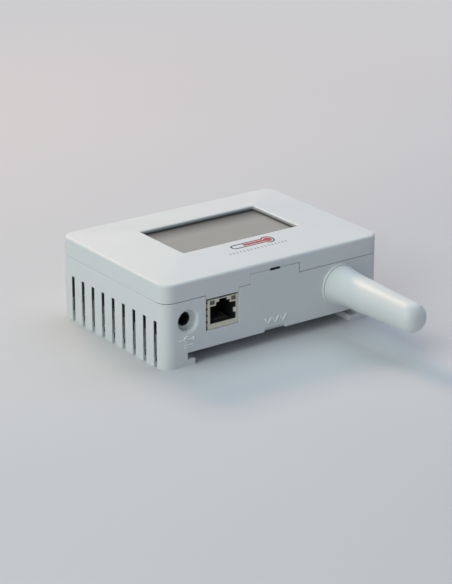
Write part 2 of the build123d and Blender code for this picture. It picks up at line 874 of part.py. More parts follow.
# Power jack centre pin, with a tail that comes down to the board behind the body
with BuildPart() as jack_pin:
    with BuildSketch(Plane.XZ.offset(-(jack_front + jack_pin_recess))):
        with Locations((inlet_x, inlet_z)):
            Circle(jack_pin_radius)
    extrude(amount=jack_pin_recess - jack_depth)
    nose_edge = jack_pin.edges().filter_by(GeomType.CIRCLE).sort_by(Axis.Y)[0]
    chamfer(nose_edge, length=jack_pin_nose)
    with Locations((inlet_x, jack_back, board_top)):
        Box(
            jack_tail_width,
            jack_tail_thickness,
            jack_axis_height + jack_pin_radius,
            align=from_front,
        )
jack_pin.part.label = "jack_pin"
export_step(jack_pin.part, "parts/jack_pin.step")


# Power jack spring: a bent strip that stands on the board and presses on the plug's sleeve
with BuildPart() as jack_spring:
    spring_top = inlet_z - jack_bore_radius + spring_lift
    with BuildSketch(Plane.YZ.offset(inlet_x - spring_width / 2)):
        with BuildLine():
            Polyline(
                (jack_front + spring_back, board_top),
                (jack_front + spring_back, spring_top),
                (jack_front + spring_front, spring_top),
                (jack_front + spring_front, spring_top - spring_thickness),
                (jack_front + spring_back - spring_thickness, spring_top - spring_thickness),
                (jack_front + spring_back - spring_thickness, board_top),
                close=True,
            )
        make_face()
    extrude(amount=spring_width)
jack_spring.part.label = "jack_spring"
export_step(jack_spring.part, "parts/jack_spring.step")


# Sensor header: the spacer on the main board that carries the sensor strip
with BuildPart() as sensor_header:
    with BuildSketch(Plane.XY.offset(board_top)):
        with Locations((stem_x, header_y)):
            Rectangle(header_count * pin_pitch, header_width)
        with Locations(header_pin_places):
            Rectangle(pin_side + 2 * pin_clearance, pin_side + 2 * pin_clearance, mode=Mode.SUBTRACT)
    extrude(amount=strip_board_bottom - board_top)
sensor_header.part.label = "sensor_header"
export_step(sensor_header.part, "parts/sensor_header.step")


# Sensor pins through the main board, the header and the sensor strip
with BuildPart() as sensor_pins:
    with BuildSketch(Plane.XY.offset(board_bottom - pin_tail)):
        with Locations(header_pin_places):
            Rectangle(pin_side, pin_side)
    extrude(amount=strip_board_top - board_bottom + 2 * pin_tail)
sensor_pins.part.label = "sensor_pins"
export_step(sensor_pins.part, "parts/sensor_pins.step")


# Sensor strip: the narrow board that reaches down the stem
with BuildPart() as sensor_board:
    with BuildSketch(Plane.XY.offset(strip_board_bottom)):
        with Locations((stem_x, (strip_board_tip + header_y + strip_board_tail) / 2)):
            Rectangle(strip_board_width, header_y + strip_board_tail - strip_board_tip)
        with Locations(header_pin_places):
            Circle(pin_hole_radius, mode=Mode.SUBTRACT)
    extrude(amount=strip_board_thickness)
sensor_board.part.label = "sensor_board"
export_step(sensor_board.part, "parts/sensor_board.step")


# Temperature sensor chip at the far end of the strip
with BuildPart() as sensor_chip:
    with BuildSketch(Plane.XY.offset(strip_board_top)):
        with Locations((stem_x, strip_board_tip + sensor_margin + sensor_side / 2)):
            Rectangle(sensor_side, sensor_side)
    extrude(amount=sensor_height)
    chamfer(sensor_chip.edges().group_by(Axis.Z)[-1], length=chip_edge)
sensor_chip.part.label = "sensor_chip"
export_step(sensor_chip.part, "parts/sensor_chip.step")


# Network chip behind its socket
with BuildPart() as network_chip:
    with BuildSketch(Plane.XY.offset(board_top)):
        with Locations((socket_x, chip_row)):
            Rectangle(network_chip_side, network_chip_side)
    extrude(amount=chip_height)
    chamfer(network_chip.edges().group_by(Axis.Z)[-1], length=chip_edge)
network_chip.part.label = "network_chip"
export_step(network_chip.part, "parts/network_chip.step")


# Processor
with BuildPart() as processor:
    with BuildSketch(Plane.XY.offset(board_top)):
        with Locations((processor_x, chip_row)):
            Rectangle(processor_side, processor_side)
    extrude(amount=chip_height)
    chamfer(processor.edges().group_by(Axis.Z)[-1], length=chip_edge)
processor.part.label = "processor"
export_step(processor.part, "parts/processor.step")


# Crystal in its low metal can
with BuildPart() as crystal:
    with BuildSketch(Plane.XY.offset(board_top)):
        with Locations((crystal_x, chip_row)):
            SlotOverall(crystal_length, crystal_width)
    extrude(amount=crystal_height)
    chamfer(crystal.edges().group_by(Axis.Z)[-1], length=crystal_edge)
crystal.part.label = "crystal"
export_step(crystal.part, "parts/crystal.step")


# Power coil
with BuildPart() as power_coil:
    with BuildSketch(Plane.XY.offset(board_top)):
        with Locations((socket_x, coil_row)):
            RectangleRounded(coil_side, coil_side, coil_corner)
    extrude(amount=coil_height)
power_coil.part.label = "power_coil"
export_step(power_coil.part, "parts/power_coil.step")


# Capacitors in a row beside the coil
with BuildPart() as capacitors:
    for i in range(capacitor_count):
        with BuildSketch(Plane.XY.offset(board_top)):
            with Locations((capacitor_x + i * capacitor_pitch, coil_row)):
                Circle(capacitor_radius)
        extrude(amount=capacitor_height)
    chamfer(capacitors.edges().group_by(Axis.Z)[-1], length=capacitor_edge)
capacitors.part.label = "capacitors"
export_step(capacitors.part, "parts/capacitors.step")
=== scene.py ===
import bmesh
import bpy
import math
from mathutils import Matrix, Vector


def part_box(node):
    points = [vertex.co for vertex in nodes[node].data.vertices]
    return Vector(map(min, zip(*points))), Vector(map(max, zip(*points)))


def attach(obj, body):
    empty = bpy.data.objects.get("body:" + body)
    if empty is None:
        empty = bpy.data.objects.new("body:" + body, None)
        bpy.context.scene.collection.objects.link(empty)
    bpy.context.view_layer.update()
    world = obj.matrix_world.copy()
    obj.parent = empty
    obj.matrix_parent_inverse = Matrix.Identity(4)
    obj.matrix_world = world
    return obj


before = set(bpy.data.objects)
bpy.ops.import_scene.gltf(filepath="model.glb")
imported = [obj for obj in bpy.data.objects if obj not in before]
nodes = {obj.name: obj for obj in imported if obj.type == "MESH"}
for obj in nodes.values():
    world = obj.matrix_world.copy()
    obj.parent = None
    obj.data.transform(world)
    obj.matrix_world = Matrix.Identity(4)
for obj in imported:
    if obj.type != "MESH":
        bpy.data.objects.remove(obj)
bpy.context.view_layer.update()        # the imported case, sockets, boards, display and stem, in metres


# Rear shell: the tray that goes on the wall, moulded in pale grey plastic with a fine matt tool
# texture. Legs, channel, vents, snap tab and inlet cup come out of the tool as one piece.
mm = 0.001
noise_low, noise_high = 0.3, 0.7        # where most of a noise's values lie


def add_node(tree, kind, inputs=None, **settings):
    """Adds a node to a shader or geometry tree, with its settings and its inputs, linked or set."""
    made = tree.nodes.new(kind)
    for key, value in settings.items():
        setattr(made, key, value)
    for key, value in (inputs or {}).items():
        if isinstance(value, bpy.types.NodeSocket):
            tree.links.new(value, made.inputs[key])
        else:
            made.inputs[key].default_value = value
    return made


def calculate(tree, operation, first, second):
    """The result of a sum on two values, each a number or another node's output."""
    made = add_node(tree, "ShaderNodeMath", {0: first, 1: second}, operation=operation)
    return made.outputs["Value"]


def start_material(name):
    """A new material with its tree, its shader and the object's own coordinates."""
    material = bpy.data.materials.new(name)
    material.use_nodes = True
    tree = material.node_tree
    coordinates = add_node(tree, "ShaderNodeTexCoord")
    return material, tree, tree.nodes["Principled BSDF"], coordinates.outputs["Object"]


def noise(tree, place, size, detail=2.0):
    """Soft noise whose spots are about size metres across, from 0 to 1."""
    inputs = {"Vector": place, "Scale": 1 / size, "Detail": detail}
    return add_node(tree, "ShaderNodeTexNoise", inputs).outputs["Fac"]


def between(tree, factor, low, high):
    """Spreads a noise over two values."""
    inputs = {
        "Value": factor,
        "From Min": noise_low,
        "From Max": noise_high,
        "To Min": low,
        "To Max": high,
    }
    return add_node(tree, "ShaderNodeMapRange", inputs).outputs["Result"]


def blend_colours(tree, factor, first, last):
    """Runs from one colour to another over a noise."""
    made = add_node(tree, "ShaderNodeValToRGB", {"Fac": factor})
    stops = zip(made.color_ramp.elements, (noise_low, noise_high), (first, last))
    for element, at, colour in stops:
        element.position = at
        element.color = (*colour, 1.0)
    return made.outputs["Color"]


def shaded(colour, share):
    """A colour made lighter or darker by a share."""
    return tuple(min(1.0, part * share) for part in colour)


def moulded_plastic(name, colour, roughness, grain, relief):
    """Moulded plastic: slight colour drift, uneven sheen, and the tool's fine texture as relief."""
    drift_size, sheen_size, sheen_spread = 25 * mm, 6 * mm, 0.05
    material, tree, shader, place = start_material(name)
    drift = noise(tree, place, drift_size, 4.0)
    tint = blend_colours(tree, drift, shaded(colour, 0.985), shaded(colour, 1.015))
    tree.links.new(tint, shader.inputs["Base Color"])
    sheen = noise(tree, place, sheen_size, 3.0)
    uneven = between(tree, sheen, roughness - sheen_spread, roughness + sheen_spread)
    tree.links.new(uneven, shader.inputs["Roughness"])
    texture = noise(tree, place, grain, 3.0)
    raised = {"Height": texture, "Distance": relief, "Strength": 0.6}
    bump = add_node(tree, "ShaderNodeBump", raised)
    tree.links.new(bump.outputs["Normal"], shader.inputs["Normal"])
    return material


def dress(node, material):
    """Gives a CAD node its finish."""
    nodes[node].data.materials.clear()
    nodes[node].data.materials.append(material)


def fade(tree, value, start, end, low):
    """Falls smoothly from 1 to a low value between two places."""
    inputs = {"Value": value, "From Min": start, "From Max": end, "To Min": 1.0, "To Max": low}
    made = add_node(tree, "ShaderNodeMapRange", inputs, interpolation_type="SMOOTHSTEP")
    return made.outputs["Result"]


def box_depth(tree, place, low, high):
    """How far a place lies outside a box, in metres, and below zero inside it."""
    middle, half = (low + high) / 2, (high - low) / 2
    kind = "ShaderNodeVectorMath"
    off = add_node(tree, kind, {0: place, 1: middle}, operation="SUBTRACT").outputs["Vector"]
    far = add_node(tree, kind, {0: off}, operation="ABSOLUTE").outputs["Vector"]
    beyond = add_node(tree, kind, {0: far, 1: half}, operation="SUBTRACT").outputs["Vector"]
    part = add_node(tree, "ShaderNodeSeparateXYZ", {"Vector": beyond}).outputs
    wider = calculate(tree, "MAXIMUM", part["X"], part["Y"])
    return calculate(tree, "MAXIMUM", wider, part["Z"])


def painted_shade(tree, tint, light):
    """A colour darkened to a share of itself, for painted shade."""
    inputs = {"Color": tint, "Value": light}
    return add_node(tree, "ShaderNodeHueSaturation", inputs).outputs["Color"]


def paint_shade_in_boxes(material, boxes):
    """Paints shade into a material's colour inside boxes, each with the run that its tone takes and the
    share of the colour that is left."""
    tree = material.node_tree
    base = tree.nodes["Principled BSDF"].inputs["Base Color"]
    tint = base.links[0].from_socket
    place = add_node(tree, "ShaderNodeTexCoord").outputs["Object"]
    for low, high, run, share in boxes:
        light = fade(tree, box_depth(tree, place, low, high), 0.0, -run, share)
        tint = painted_shade(tree, tint, light)
    tree.links.new(tint, base)


case_colour = (0.71, 0.735, 0.73)
case_grain, case_relief = 0.35 * mm, 0.02 * mm
case_plastic = moulded_plastic("case_plastic", case_colour, 0.48, case_grain, case_relief)
shell_low, shell_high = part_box("rear_shell")
# Painted shade: the hollow behind the vents is painted dark, and darker over the main board.
skin, hollow_shade_run = 0.15 * mm, 0.1 * mm
leg_foot, leg_reach = 4.5 * mm, 6.3 * mm
tray_floor, board_level, tray_top = 8.0 * mm, 11.0 * mm, 29.0 * mm
vents_front, vents_back = shell_low.y + 5.5 * mm, shell_high.y - 5.6 * mm
left_x, right_x = shell_low.x + skin, shell_high.x - skin
hollow_shade_tone, board_shade_tone = 0.5, 0.2
hollow_shades = [
    (left_x, left_x + leg_reach, leg_foot, hollow_shade_tone),
    (right_x - leg_reach, right_x, leg_foot, hollow_shade_tone),
    (left_x + leg_reach, right_x - leg_reach, tray_floor, hollow_shade_tone),
    (left_x, right_x, board_level, board_shade_tone),
]
paint_shade_in_boxes(case_plastic, [
    (Vector((x0, vents_front, z0)), Vector((x1, vents_back, tray_top)), hollow_shade_run, tone)
    for x0, x1, z0, tone in hollow_shades
])
# Painted shade also darkens the slot that opens the snap, and the seam on both sides of the socket and
# the tab.
pry_half, pry_front, pry_back = 2.8 * mm, 0.2 * mm, 2.4 * mm
pry_bottom, pry_top, pry_shade_tone = 34.2 * mm, 35.6 * mm, 0.15
pry_low = Vector((-pry_half, shell_low.y + pry_front, pry_bottom))
pry_high = Vector((pry_half, shell_low.y + pry_back, pry_top))
seam_low, seam_high, seam_shade_run = 30.12 * mm, 30.45 * mm, 0.05 * mm
cutout_left, tab_right = -37.2 * mm, 13.6 * mm
seam_shades = [
    (shell_low.x - skin, cutout_left, 0.25),
    (tab_right, shell_high.x + skin, 0.5),
]
seam_front = shell_low.y - skin
paint_shade_in_boxes(case_plastic, [(pry_low, pry_high, seam_shade_run, pry_shade_tone)] + [
    (Vector((x0, seam_front, seam_low)), Vector((x1, vents_front, seam_high)), seam_shade_run, tone)
    for x0, x1, tone in seam_shades
])
dress("rear_shell", case_plastic)


# Signs on the socket face: raised marks, moulded with the shell and polished in the tool. Under
# the power inlet stand the polarity and direct-current signs, and over the notch three arrowheads.
# The signs' colour is the case colour painted lighter: painted light for the light their raised edges
# catch.
sign_painted_light_colour = shaded(case_colour, 1.18)
sign_plastic = moulded_plastic("sign_plastic", sign_painted_light_colour, 0.4, case_grain, 0.01 * mm)
sign_root, sign_relief, sign_edge = 0.05 * mm, 0.45 * mm, 0.14 * mm
stroke = 0.55 * mm


def bar(width, height, x=0.0, z=0.0):
    """Corners of an upright rectangle round a point, as one loop."""
    left, right = x - width / 2, x + width / 2
    bottom, top = z - height / 2, z + height / 2
    return [(left, bottom), (right, bottom), (right, top), (left, top)]


def arc(radius, start, end, x=0.0, steps=28):
    """Points along an arc round a point, from one angle to another in degrees."""
    turns = [math.radians(start + (end - start) * i / steps) for i in range(steps + 1)]
    return [(x + radius * math.cos(t), radius * math.sin(t)) for t in turns]


def disc(radius, steps=24):
    """Points of a circle, as one loop."""
    return arc(radius, 0, 360, steps=steps)[:-1]


def arc_band(radius, width, start, end):
    """Points of a band along an arc, from one angle to another in degrees, as one loop."""
    outer = arc(radius + width / 2, start, end)
    inner = arc(radius - width / 2, start, end)
    return outer + inner[::-1]


def link_piece(name, mesh):
    """Turns a finished mesh into a piece of the scene."""
    data = bpy.data.meshes.new(name)
    mesh.to_mesh(data)
    mesh.free()
    piece = bpy.data.objects.new(name, data)
    bpy.context.scene.collection.objects.link(piece)
    return piece


def flat_piece(name, loops, place, depth, height, edge, material):
    """Thin solids over loops of points: each rises from depth below a plane to height above it.
    The place turns the loops' own plane, with its normal along Z, to where the piece lies."""
    mesh = bmesh.new()
    for loop in loops:
        corners = [mesh.verts.new((a, b, -depth)) for a, b in loop]
        base = mesh.faces.new(corners)
        raised = bmesh.ops.extrude_face_region(mesh, geom=[base])["geom"]
        top = [part for part in raised if isinstance(part, bmesh.types.BMVert)]
        bmesh.ops.translate(mesh, verts=top, vec=(0, 0, depth + height))
    bmesh.ops.recalc_face_normals(mesh, faces=mesh.faces)
    if edge:
        rim = [e for e in mesh.edges if all(v.co.z > 0 for v in e.verts)]
        bmesh.ops.bevel(mesh, geom=rim, offset=edge, segments=2, affect="EDGES", profile=0.5)
    bmesh.ops.triangulate(mesh, faces=[f for f in mesh.faces if len(f.verts) > 4])
    mesh.transform(place)
    piece = link_piece(name, mesh)
    piece.data.materials.append(material)
    return piece


def on_socket_face(x, z):
    """Places a flat piece on the socket face, its own Y up and its normal towards the viewer."""
    return Matrix.Translation((x, shell_low.y, z)) @ Matrix.Rotation(math.pi / 2, 4, "X")


dot_radius, ring_radius, ring_gap = 0.5 * mm, 1.25 * mm, 50
lead_in, lead_out = 1.2 * mm, 2.5 * mm
mark_x, mark_size = 3.35 * mm, 1.3 * mm
arm, arm_x = (mark_size - stroke) / 2, (mark_size + stroke) / 4
polarity = [
    disc(dot_radius),
    arc_band(ring_radius, stroke, ring_gap, 360 - ring_gap),
    bar(lead_out - dot_radius, stroke, (lead_out + dot_radius) / 2),
    bar(lead_out - lead_in, stroke, -(lead_out + lead_in) / 2),
    bar(mark_size, stroke, -mark_x),
    bar(stroke, mark_size, mark_x),
    bar(arm, stroke, mark_x - arm_x),
    bar(arm, stroke, mark_x + arm_x),
]
dash, dash_gap, line_z = 1.1 * mm, 0.5 * mm, 0.6 * mm
direct_current = [bar(3 * dash + 2 * dash_gap, stroke, 0, line_z)]
direct_current += [bar(dash, stroke, i * (dash + dash_gap), -line_z) for i in (-1, 0, 1)]
head_half, head_drop, head_stroke, head_pitch = 1.6 * mm, 2.2 * mm, 1.0 * mm, 4.1 * mm


def arrowhead(x):
    """Corners of a broad arrowhead that points down, as one loop."""
    left, right = x - head_half, x + head_half
    top, tip = (head_drop + head_stroke) / 2, -(head_drop + head_stroke) / 2
    shoulder = top - head_stroke
    outer = [(left, top), (left, shoulder), (x, tip), (right, shoulder), (right, top)]
    return outer + [(x, tip + head_stroke)]


push = [arrowhead(i * head_pitch) for i in (-1, 0, 1)]
inlet_x = shell_low.x + 12.6 * mm
sign_places = {
    "polarity_sign": (polarity, inlet_x - 0.7 * mm, 12.5 * mm),
    "current_sign": (direct_current, inlet_x + 0.2 * mm, 9.3 * mm),
    "push_sign": (push, 0.25 * mm, 11.0 * mm),
}
for sign_name, (loops, x, z) in sign_places.items():
    place = on_socket_face(x, z)
    sign = flat_piece(sign_name, loops, place, sign_root, sign_relief, sign_edge, sign_plastic)
    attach(sign, "root")


# Circuit boards: glass-fibre laminate with a green mask over copper, routed to outline. The main
# board is screwed to the shell, the display board to the cover, and the strip runs down the stem.
def circuit_board(name):
    """Green mask with the copper's tracks showing faintly through it."""
    track_pitch, track_width = 4 * mm, 0.03
    weave_size, weave_relief = 0.5 * mm, 0.01 * mm
    material, tree, shader, place = start_material(name)
    tracks = add_node(tree, "ShaderNodeTexBrick", {
        "Vector": place,
        "Scale": 1 / track_pitch,
        "Mortar Size": track_width,
        "Color1": (0.010, 0.042, 0.027, 1),
        "Color2": (0.013, 0.052, 0.032, 1),
        "Mortar": (0.03, 0.09, 0.05, 1),
    })
    tree.links.new(tracks.outputs["Color"], shader.inputs["Base Color"])
    weave = noise(tree, place, weave_size)
    tree.links.new(between(tree, weave, 0.3, 0.42), shader.inputs["Roughness"])
    raised = {"Height": weave, "Distance": weave_relief, "Strength": 0.5}
    bump = add_node(tree, "ShaderNodeBump", raised)
    tree.links.new(bump.outputs["Normal"], shader.inputs["Normal"])
    return material


board_finish = circuit_board("circuit_board")
for board in ("main_board", "display_board", "sensor_board"):
    dress(board, board_finish)


# Screws: zinc-plated pan heads, four for each of the two large boards. They are turned and plated,
# so the finish is metal with fine rings and a slight yellow cast.
def stretch(tree, place, scale):
    """Coordinates drawn out along an axis, so that a noise runs into streaks."""
    inputs = {"Vector": place, "Scale": scale}
    return add_node(tree, "ShaderNodeMapping", inputs).outputs["Vector"]


def plated_metal(name, colour, roughness, spread, streak, bare=1.0):
    """Bare or plated metal: fine streaks in its sheen, stretched along one axis, and slight
    tarnish. A dull plating is less bare, and scatters more of the light."""
    streak_size, tarnish_size = 0.4 * mm, 3 * mm
    material, tree, shader, place = start_material(name)
    lines = noise(tree, stretch(tree, place, streak), streak_size, 3.0)
    sheen = between(tree, lines, roughness - spread, roughness + spread)
    tree.links.new(sheen, shader.inputs["Roughness"])
    tarnish = noise(tree, place, tarnish_size, 4.0)
    tint = blend_colours(tree, tarnish, shaded(colour, 0.93), shaded(colour, 1.05))
    tree.links.new(tint, shader.inputs["Base Color"])
    shader.inputs["Metallic"].default_value = bare
    return material


screw_finish = plated_metal("screw_steel", (0.60, 0.59, 0.55), 0.32, 0.08, (1, 1, 0.2))
for screws in ("board_screws", "display_screws"):
    dress(screws, screw_finish)


# Parts on the boards: moulded chips and coil, drawn metal cans, and the black bars and gilt pins
# that join the boards. All are soldered down before the case is closed.
chip_finish = moulded_plastic("chip_plastic", (0.028, 0.028, 0.03), 0.55, 0.12 * mm, 0.01 * mm)
for chip in ("network_chip", "processor", "sensor_chip", "power_coil"):
    dress(chip, chip_finish)
can_finish = plated_metal("can_metal", (0.72, 0.72, 0.71), 0.3, 0.07, (1, 1, 0.15))
for can in ("crystal", "capacitors"):
    dress(can, can_finish)
dark_finish = moulded_plastic("dark_plastic", (0.016, 0.016, 0.018), 0.45, 0.25 * mm, 0.015 * mm)
for header in ("link_socket", "link_collar", "sensor_header"):
    dress(header, dark_finish)
gilt_finish = plated_metal("contact_brass", (0.76, 0.56, 0.24), 0.28, 0.06, (1, 1, 0.2))
for pins in ("link_pins", "sensor_pins"):
    dress(pins, gilt_finish)


# Chip leads: bent tinned strips along all four sides of the two large chips, soldered to the
# board. One lead is drawn, and a row of them is repeated on each side.
def repeat_piece(piece, count, step, material, sides=1, centre=(0, 0, 0)):
    """Repeats a piece's mesh along a row, and the row round a centre, with Geometry Nodes.
    The piece is left with the result as a plain mesh."""
    tree = bpy.data.node_groups.new(piece.name + "_rows", "GeometryNodeTree")
    face = tree.interface
    face.new_socket("Geometry", in_out="INPUT", socket_type="NodeSocketGeometry")
    face.new_socket("Geometry", in_out="OUTPUT", socket_type="NodeSocketGeometry")
    values = {
        "Count": ("NodeSocketInt", count),
        "Step": ("NodeSocketVector", step),
        "Sides": ("NodeSocketInt", sides),
        "Centre": ("NodeSocketVector", centre),
    }
    set_values = {}
    for name, (kind, value) in values.items():
        socket = face.new_socket(name, in_out="INPUT", socket_type=kind)
        set_values[socket.identifier] = value
    given = add_node(tree, "NodeGroupInput").outputs
    line = add_node(
        tree, "GeometryNodeMeshLine", {"Count": given["Count"], "Offset": given["Step"]}
    )
    row = add_node(
        tree,
        "GeometryNodeInstanceOnPoints",
        {"Points": line.outputs["Mesh"], "Instance": given["Geometry"]},
    )
    whole_row = add_node(
        tree, "GeometryNodeRealizeInstances", {"Geometry": row.outputs["Instances"]}
    )
    hub = add_node(
        tree,
        "GeometryNodeMeshLine",
        {"Count": given["Sides"], "Start Location": given["Centre"], "Offset": (0, 0, 0)},
    )
    index = add_node(tree, "GeometryNodeInputIndex").outputs["Index"]
    share = calculate(tree, "DIVIDE", index, given["Sides"])
    angle = calculate(tree, "MULTIPLY", share, 2 * math.pi)
    turn = add_node(tree, "ShaderNodeCombineXYZ", {"Z": angle}).outputs["Vector"]
    ring = add_node(
        tree,
        "GeometryNodeInstanceOnPoints",
        {
            "Points": hub.outputs["Mesh"],
            "Instance": whole_row.outputs["Geometry"],
            "Rotation": turn,
        },
    )
    solid = add_node(
        tree, "GeometryNodeRealizeInstances", {"Geometry": ring.outputs["Instances"]}
    )
    finish = add_node(
        tree,
        "GeometryNodeSetMaterial",
        {"Geometry": solid.outputs["Geometry"], "Material": material},
    )
    add_node(tree, "NodeGroupOutput", {"Geometry": finish.outputs["Geometry"]})
    rows = piece.modifiers.new("rows", "NODES")
    rows.node_group = tree
    for key, value in set_values.items():
        rows[key] = value
    bpy.context.view_layer.update()
    shape = piece.evaluated_get(bpy.context.evaluated_depsgraph_get())
    plain = bpy.data.meshes.new_from_object(shape)
    piece.modifiers.clear()
    piece.data = plain


def bent_strip(name, path, width, thickness):
    """A strip bent along a path of points in the YZ plane, its width along X, as a closed mesh."""
    mesh = bmesh.new()
    rings = []
    sides = [(-width / 2, -1), (width / 2, -1), (width / 2, 1), (-width / 2, 1)]
    for i, (y, z) in enumerate(path):
        before, after = path[max(i - 1, 0)], path[min(i + 1, len(path) - 1)]
        run = Vector((after[0] - before[0], after[1] - before[1])).normalized()
        off = Vector((-run.y, run.x)) * thickness / 2
        rings.append([mesh.verts.new((x, y + s * off.x, z + s * off.y)) for x, s in sides])
    for a, b in zip(rings, rings[1:]):
        for k in range(4):
            mesh.faces.new((a[k], a[(k + 1) % 4], b[(k + 1) % 4], b[k]))
    mesh.faces.new(rings[0])
    mesh.faces.new(rings[-1][::-1])
    bmesh.ops.recalc_face_normals(mesh, faces=mesh.faces)
    return link_piece(name, mesh)


lead_width, lead_sheet, lead_pitch = 0.3 * mm, 0.13 * mm, 0.8 * mm
lead_shoulder, lead_heel, lead_toe = 0.45 * mm, 0.75 * mm, 1.4 * mm
chip_sides = 4
for chip, lead_count in (("network_chip", 10), ("processor", 14)):
    chip_low, chip_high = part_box(chip)
    chip_half = (chip_high.x - chip_low.x) / 2
    lead_top = (chip_high.z - chip_low.z) / 2
    lead_path = [
        (-chip_half, lead_top),
        (-chip_half - lead_shoulder, lead_top),
        (-chip_half - lead_heel, lead_sheet / 2),
        (-chip_half - lead_toe, lead_sheet / 2),
    ]
    leads = bent_strip(chip + "_leads", lead_path, lead_width, lead_sheet)
    row_start = -(lead_count - 1) / 2 * lead_pitch
    leads.data.transform(Matrix.Translation((row_start, 0, 0)))
    chip_x, chip_y = (chip_low.x + chip_high.x) / 2, (chip_low.y + chip_high.y) / 2
    chip_foot = (chip_x, chip_y, chip_low.z)
    repeat_piece(leads, lead_count, (lead_pitch, 0, 0), can_finish, chip_sides, chip_foot)
    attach(leads, "root")


# Network socket: a black moulded insert with dull plated spring contacts, in a shield folded from
# tinned sheet. Two small lenses, green and yellow, fill the windows over the plug's opening.
shield_finish = plated_metal("shield_steel", (0.64, 0.595, 0.50), 0.45, 0.08, (0.15, 1, 1), 0.6)
dress("socket_shield", shield_finish)
dress("socket_insert", dark_finish)
contact_finish = plated_metal(
    "contact_plating", (0.22, 0.21, 0.18), 0.35, 0.06, (1, 1, 0.2), 0.6
)
dress("socket_contacts", contact_finish)


def tinted_lens(name, colour):
    """Clear tinted plastic, unlit: dark, glossy, with a faint milky core."""
    core_size = 0.8 * mm
    material, tree, shader, place = start_material(name)
    core = noise(tree, place, core_size)
    tint = blend_colours(tree, core, shaded(colour, 0.7), shaded(colour, 1.3))
    tree.links.new(tint, shader.inputs["Base Color"])
    shader.inputs["Roughness"].default_value = 0.22
    shader.inputs["Coat Weight"].default_value = 0.6
    shader.inputs["Coat Roughness"].default_value = 0.08
    return material


dress("green_light", tinted_lens("green_lens", (0.032, 0.062, 0.034)))
dress("yellow_light", tinted_lens("yellow_lens", (0.10, 0.09, 0.035)))


# Shield springs: small bent tongues down both sides of the shield's mouth, stamped from the same
# sheet, that touch the edge of the case's cut-out. The windows they leave in the sheet are covered
# by thin dark sheets, painted shade for the dark seen through them.
shield_low, shield_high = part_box("socket_shield")
spring_count, spring_pitch, spring_sheet = 4, 3.0 * mm, 0.12 * mm
spring_width, spring_sill, spring_reach = 1.9 * mm, 2.0 * mm, 0.3 * mm
bend_start, bend_end = 1.0 * mm, 1.9 * mm
window_start, window_end, window_rise = 0.12 * mm, 3.2 * mm, 0.02 * mm
window_height, window_width = spring_count * spring_pitch, window_end - window_start
window_middle = (window_start + window_end) / 2
spring_path = [
    (window_start, window_rise),
    (bend_start, spring_reach),
    (bend_end, spring_reach),
    (window_end, window_rise),
]
for side, name, edge_x in ((-1, "left", shield_low.x), (1, "right", shield_high.x)):
    out = Matrix((
        (0, 0, side, edge_x),
        (0, 1, 0, shield_low.y),
        (-side, 0, 0, shield_low.z + spring_sill),
        (0, 0, 0, 1),
    ))
    row_middle = -side * (spring_count - 1) / 2 * spring_pitch
    opening = [bar(window_height, window_width, row_middle, window_middle)]
    # A thin dark sheet in each window: painted shade.
    window = flat_piece(
        "shield_window_shade_" + name, opening, out, window_rise, window_rise, 0, dark_finish
    )
    springs = bent_strip("shield_springs_" + name, spring_path, spring_width, spring_sheet)
    springs.data.transform(out)
    repeat_piece(springs, spring_count, (0, 0, spring_pitch), shield_finish)
    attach(window, "root")
    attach(springs, "root")


# Power jack: a black moulded block behind the shell's cup, with a plated centre pin and a bent
# spring for the plug's sleeve. Only its dark bore shows.
dress("jack_body", dark_finish)
for metal in ("jack_pin", "jack_spring"):
    dress(metal, gilt_finish)


# Sensor stem: a hollow cap moulded in the same plastic as the case but polished, with a flange
# that seats on the socket face. It snaps into the shell by its spigot.
def satin_plastic(name, colour, roughness):
    """Polished plastic: nearly even sheen, with faint long flow marks."""
    drift_size, flow_size, flow_spread = 18 * mm, 6 * mm, 0.015
    material, tree, shader, place = start_material(name)
    drift = noise(tree, place, drift_size, 1.0)
    tint = blend_colours(tree, drift, shaded(colour, 0.985), shaded(colour, 1.015))
    tree.links.new(tint, shader.inputs["Base Color"])
    flow = noise(tree, stretch(tree, place, (1, 0.2, 1)), flow_size, 1.0)
    sheen = between(tree, flow, roughness - flow_spread, roughness + flow_spread)
    tree.links.new(sheen, shader.inputs["Roughness"])
    return material


dress("sensor_cap", satin_plastic("stem_plastic", (0.71, 0.74, 0.725), 0.34))


# Display: a reflective liquid crystal panel, switched off, whose grey-olive polariser shows in the
# window. It lies in a moulded frame, on two rubber contact strips, under a dark gasket.
glass_low, glass_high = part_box("display_glass")
glass_lap = 4.5 * mm


def display_panel(name, colour):
    """Unlit reflective display: fine metallic grain under a clear glossy plate. The reflector lies
    deep in the glass, and the rim's shade on it along the far edge and the right end is painted shade."""
    grain_size, sheen_size = 0.15 * mm, 20 * mm
    far_run, end_run, past_rim = 14 * mm, 5 * mm, 0.5 * mm
    far_tone, end_tone = 0.1, 0.75
    material, tree, shader, place = start_material(name)
    grain = noise(tree, place, grain_size, 1.0)
    tint = blend_colours(tree, grain, shaded(colour, 0.95), shaded(colour, 1.05))
    spot = add_node(tree, "ShaderNodeSeparateXYZ", {"Vector": place}).outputs
    far_edge, right_end = glass_high.y - glass_lap, glass_high.x - glass_lap
    far_shade = fade(tree, spot["Y"], far_edge - far_run, far_edge + past_rim, far_tone)
    end_shade = fade(tree, spot["X"], right_end - end_run, right_end + past_rim, end_tone)
    shade = calculate(tree, "MULTIPLY", far_shade, end_shade)
    tree.links.new(painted_shade(tree, tint, shade), shader.inputs["Base Color"])
    sheen = noise(tree, place, sheen_size, 2.0)
    tree.links.new(between(tree, sheen, 0.38, 0.46), shader.inputs["Roughness"])
    shader.inputs["Specular IOR Level"].default_value = 0.3
    shader.inputs["Coat Weight"].default_value = 0.4
    shader.inputs["Coat Roughness"].default_value = 0.12
    return material


